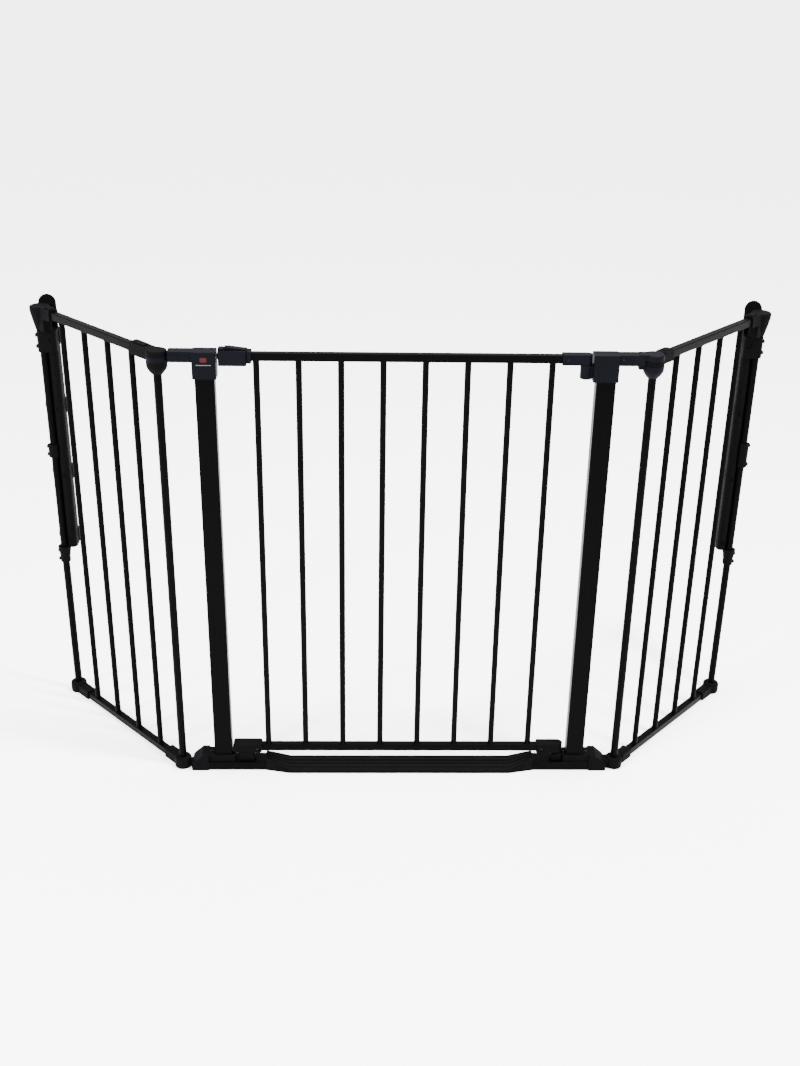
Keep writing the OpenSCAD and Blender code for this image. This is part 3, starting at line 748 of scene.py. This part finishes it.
def turned_collar(name, foot, height):
    """A ring with a funnel on top, round a bore, standing on foot. Round, so it has no taper."""
    bpy.ops.object.select_all(action="DESELECT")
    bpy.ops.mesh.primitive_circle_add(vertices=64, radius=BORE_R, location=foot)
    collar = bpy.context.object
    collar.name = name
    start_edit(collar)
    grow_loop(rise=0, radius=RING_R, from_radius=BORE_R)
    grow_loop(RING_H, RING_R, RING_R)
    grow_loop(height - RING_H, FUNNEL_R, RING_R)
    grow_loop(0, BORE_R, FUNNEL_R)
    grow_loop(-height, BORE_R, BORE_R)
    bpy.ops.mesh.select_all(action="SELECT")
    bpy.ops.mesh.remove_doubles(threshold=WELD)
    bpy.ops.mesh.normals_make_consistent(inside=False)
    end_edit()
    settled(collar)
    return rounded(collar, COLLAR_EDGE, limit=25)


def small_lug(place):
    """A rounded block with its middle at place."""
    bpy.ops.object.select_all(action="DESELECT")
    bpy.ops.mesh.primitive_cube_add(size=1, location=place)
    lug = bpy.context.object
    lug.scale = LUG
    settled(lug)
    return rounded(lug, LUG_EDGE, segments=2, limit=40)


for side in SIDES:
    collar_low, collar_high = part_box(side + "_wall_collar")
    axis = Vector(joints[side + "_bracket_swivel"]["pos_m"])
    outward = -1 if side == "left" else 1
    collar = turned_collar(
        side + "_wall_collar_moulding", (axis.x, axis.y, collar_low.z),
        collar_high.z - collar_low.z)
    lug_x = axis.x + outward * (RING_R + LUG_OUT)
    lugs = [small_lug((lug_x, axis.y, collar_low.z + rise)) for rise in LUG_HEIGHTS]
    select_all_of([*lugs, collar])
    bpy.ops.object.join()
    # Painted shade: the collar takes the darker plastic copy that stands for shade at the wall.
    finish_with(collar, shaded_plastic)
    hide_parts(side + "_wall_collar")
    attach(collar, side + "_bracket")
    print(collar.name, len(collar.data.polygons), "faces")

# %% [markdown]
# ## One plug
# The wall screws are driven through round holes in the bracket, and each hole is closed by a
# small push-in plug. It starts as a short cylinder lying on its side. Its front face is inset
# and pushed back, which leaves a raised rim to lever it out by, and then inset and raised again.

# %% Access hole plug
PLUG_R = 4.38 * MM
PLUG_DEPTH = 3 * MM
PLUG_RIM = 0.8 * MM
PLUG_DISH = 0.45 * MM
PLUG_SLOPE = 1.4 * MM
PLUG_CROWN = 0.25 * MM
PLUG_EDGE = 0.15 * MM


def pick_faces(piece, normal, limit=0.95):
    """In edit mode, selects only the faces that look along normal."""
    mesh = bmesh.from_edit_mesh(piece.data)
    mesh.normal_update()
    for face in mesh.faces:
        face.select_set(face.normal.dot(Vector(normal)) > limit)
    mesh.select_flush(True)
    bmesh.update_edit_mesh(piece.data)


bpy.ops.object.select_all(action="DESELECT")
bpy.ops.mesh.primitive_cylinder_add(
    vertices=48, radius=PLUG_R, depth=PLUG_DEPTH, rotation=(math.pi / 2, 0, 0))
plug = bpy.context.object
plug.name = "access_plug"
settled(plug)
start_edit(plug, "DESELECT")
pick_faces(plug, (0, -1, 0))
bpy.ops.mesh.inset(thickness=PLUG_RIM)
bpy.ops.transform.translate(value=(0, PLUG_DISH, 0))
bpy.ops.mesh.inset(thickness=PLUG_SLOPE)
bpy.ops.transform.translate(value=(0, -PLUG_CROWN, 0))
end_edit()
rounded(plug, PLUG_EDGE, segments=2, limit=30)
print("plug has", len(plug.data.polygons), "faces")

# %% [markdown]
# ## Plugs in the brackets
# The record says where the screws are and how far apart, so the plugs follow from it. The top
# screw goes through the clamp that wraps the channel, which stands further forward than the
# channel itself, and each plug sits a little below the surface that it closes.

# %% Set the plugs
PLUG_STEPS = (-1.5, -0.5, 0.5, 1.5)
SUNK_IN_CLAMP = 1.3 * MM
SUNK_IN_CHANNEL = 1.6 * MM

mounts = {m["name"]: m for m in record["mounts"]}
for side in SIDES:
    outer = mounts[side + "_wall_screws_outer"]
    x, _, middle = outer["pos_m"]
    pitch = outer["dims"]["spacing_y_mm"] * MM / (len(PLUG_STEPS) - 1)
    in_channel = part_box(side + "_wall_channel")[0].y + SUNK_IN_CHANNEL
    in_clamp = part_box(side + "_wall_clamps")[0].y + SUNK_IN_CLAMP
    places = []
    for step in PLUG_STEPS:
        front = in_clamp if step == PLUG_STEPS[-1] else in_channel
        places.append(Matrix.Translation((x, front + PLUG_DEPTH / 2, middle + step * pitch)))
    # Painted shade: the plugs take the darker plastic copy that stands for shade at the wall.
    set_of(plug, places, side + "_access_plugs", side + "_bracket", shaded_plastic)
scrap(plug)
print("plugs:", len(SIDES) * len(PLUG_STEPS))

# %% [markdown]
# ## One socket screw
# Each sleeve holds its rail with one socket screw on the side that faces the wall. The head is a
# short cylinder whose top face is inset and then extruded down, which sinks a round socket, and
# its rim gets a small bevel. A boolean would cut the same socket, but leave a messier mesh.

# %% Socket screw
HEAD_R = 2.3 * MM
HEAD_H = 2.0 * MM
HEAD_RIM = 1.0 * MM
SOCKET_DEPTH = 1.1 * MM
HEAD_EDGE = 0.2 * MM

bpy.ops.object.select_all(action="DESELECT")
bpy.ops.mesh.primitive_cylinder_add(vertices=36, radius=HEAD_R, depth=HEAD_H)
socket_screw = bpy.context.object
socket_screw.name = "socket_screw"
start_edit(socket_screw, "DESELECT")
pick_faces(socket_screw, (0, 0, 1))
bpy.ops.mesh.inset(thickness=HEAD_RIM)
bpy.ops.mesh.extrude_region_move(TRANSFORM_OT_translate={"value": (0, 0, -SOCKET_DEPTH)})
end_edit()
rounded(socket_screw, HEAD_EDGE, segments=2, limit=40)
print("screw has", len(socket_screw.data.polygons), "faces")

# %% [markdown]
# ## Screws in the sleeves
# A screw is turned to look out of the sleeve's back, which is the panel's own sideways direction
# on the wall's side. Its head stands a little proud of the sleeve, at the height of the rail.

# %% Set the sleeve screws
SLEEVE_HALF = 8.5 * MM
SLEEVE_SCREW = 33 * MM
HEAD_PROUD = 0.7 * MM


def facing(point, outward):
    """A matrix that puts a piece's +Z along outward at point."""
    turn = Vector(outward).to_track_quat("Z", "Y").to_matrix().to_4x4()
    return Matrix.Translation(point) @ turn


def middle_height(node):
    """How high the middle of a node's box is."""
    low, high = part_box(node)
    return (low.z + high.z) / 2


head_out = SLEEVE_HALF + HEAD_PROUD - HEAD_H / 2
for side in SIDES:
    near, far, along = panel_line(side)
    back = Vector((-along.y, along.x, 0))
    if back.y < 0:
        back = -back
    heights = [middle_height(side + "_top_rail"), middle_height(side + "_bottom_rail")]
    spots = [near + along * SLEEVE_SCREW, far - along * SLEEVE_SCREW]
    places = [
        facing(spot + back * head_out + Vector((0, 0, z)), back)
        for spot in spots for z in heights]
    set_of(socket_screw, places, side + "_sleeve_screws", side + "_panel", zinc)
scrap(socket_screw)
print("sleeve screws:", len(SIDES) * len(places))

# %% [markdown]
# ## Walk-over strip
# The strip's ribs are rolled, so their edges are round. It is steel, but it takes the same
# treatment as a moulding, with a finer bevel and a lower angle limit, because its ribs are
# shallow. Then it changes to its own paler coat, a painted sheen for the highlights on its ribs.

# %% Strip
strip = moulding("threshold_ramp", width=0.45 * MM, segments=2, limit=25)
# Painted sheen: the strip's paler coat stands for highlights along its ribs.
finish_with(strip, strip_sheen_steel)
print("strip faces:", len(strip.data.polygons))

# %% [markdown]
# ## Badge and line
# The badge is a plain raised pad, rounded like the mouldings. The line below it is a thin bar,
# sunk halfway into the cover, with its faces subdivided and its edges just broken. It could be
# painted by the cover's finish, but a real piece keeps a crisp outline from close by.

# %% Badge and line
LINE_WIDTH = 22 * MM
LINE_HEIGHT = 1.1 * MM
LINE_DEPTH = 0.5 * MM
LINE_DROP = 4.2 * MM
LINE_EDGE = 0.12 * MM

moulding("badge", width=0.28 * MM, segments=3, limit=40)
badge_low, badge_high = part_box("badge")
line_x = (badge_low.x + badge_high.x) / 2

bpy.ops.object.select_all(action="DESELECT")
bpy.ops.mesh.primitive_cube_add(
    size=1, location=(line_x, badge_high.y, badge_low.z - LINE_DROP))
pale_line = bpy.context.object
pale_line.name = "badge_line"
pale_line.scale = (LINE_WIDTH, LINE_DEPTH, LINE_HEIGHT)
settled(pale_line)
start_edit(pale_line)
bpy.ops.mesh.subdivide(number_cuts=2)
end_edit()
rounded(pale_line, LINE_EDGE, segments=2, limit=40)
finish_with(pale_line, ink)
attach(pale_line, "section")
print("line is", LINE_WIDTH / MM, "mm wide")

# %% [markdown]
# ## Sizes
# New pieces may round an edge or fill a hole, but should not make the gate bigger; this prints
# how much its visual box grows.

# %% Sizes
new_low, new_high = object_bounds()
growth = (new_high - new_low) - (cad_high - cad_low)
print("visual box grows by", [round(v / MM, 2) for v in growth], "mm")
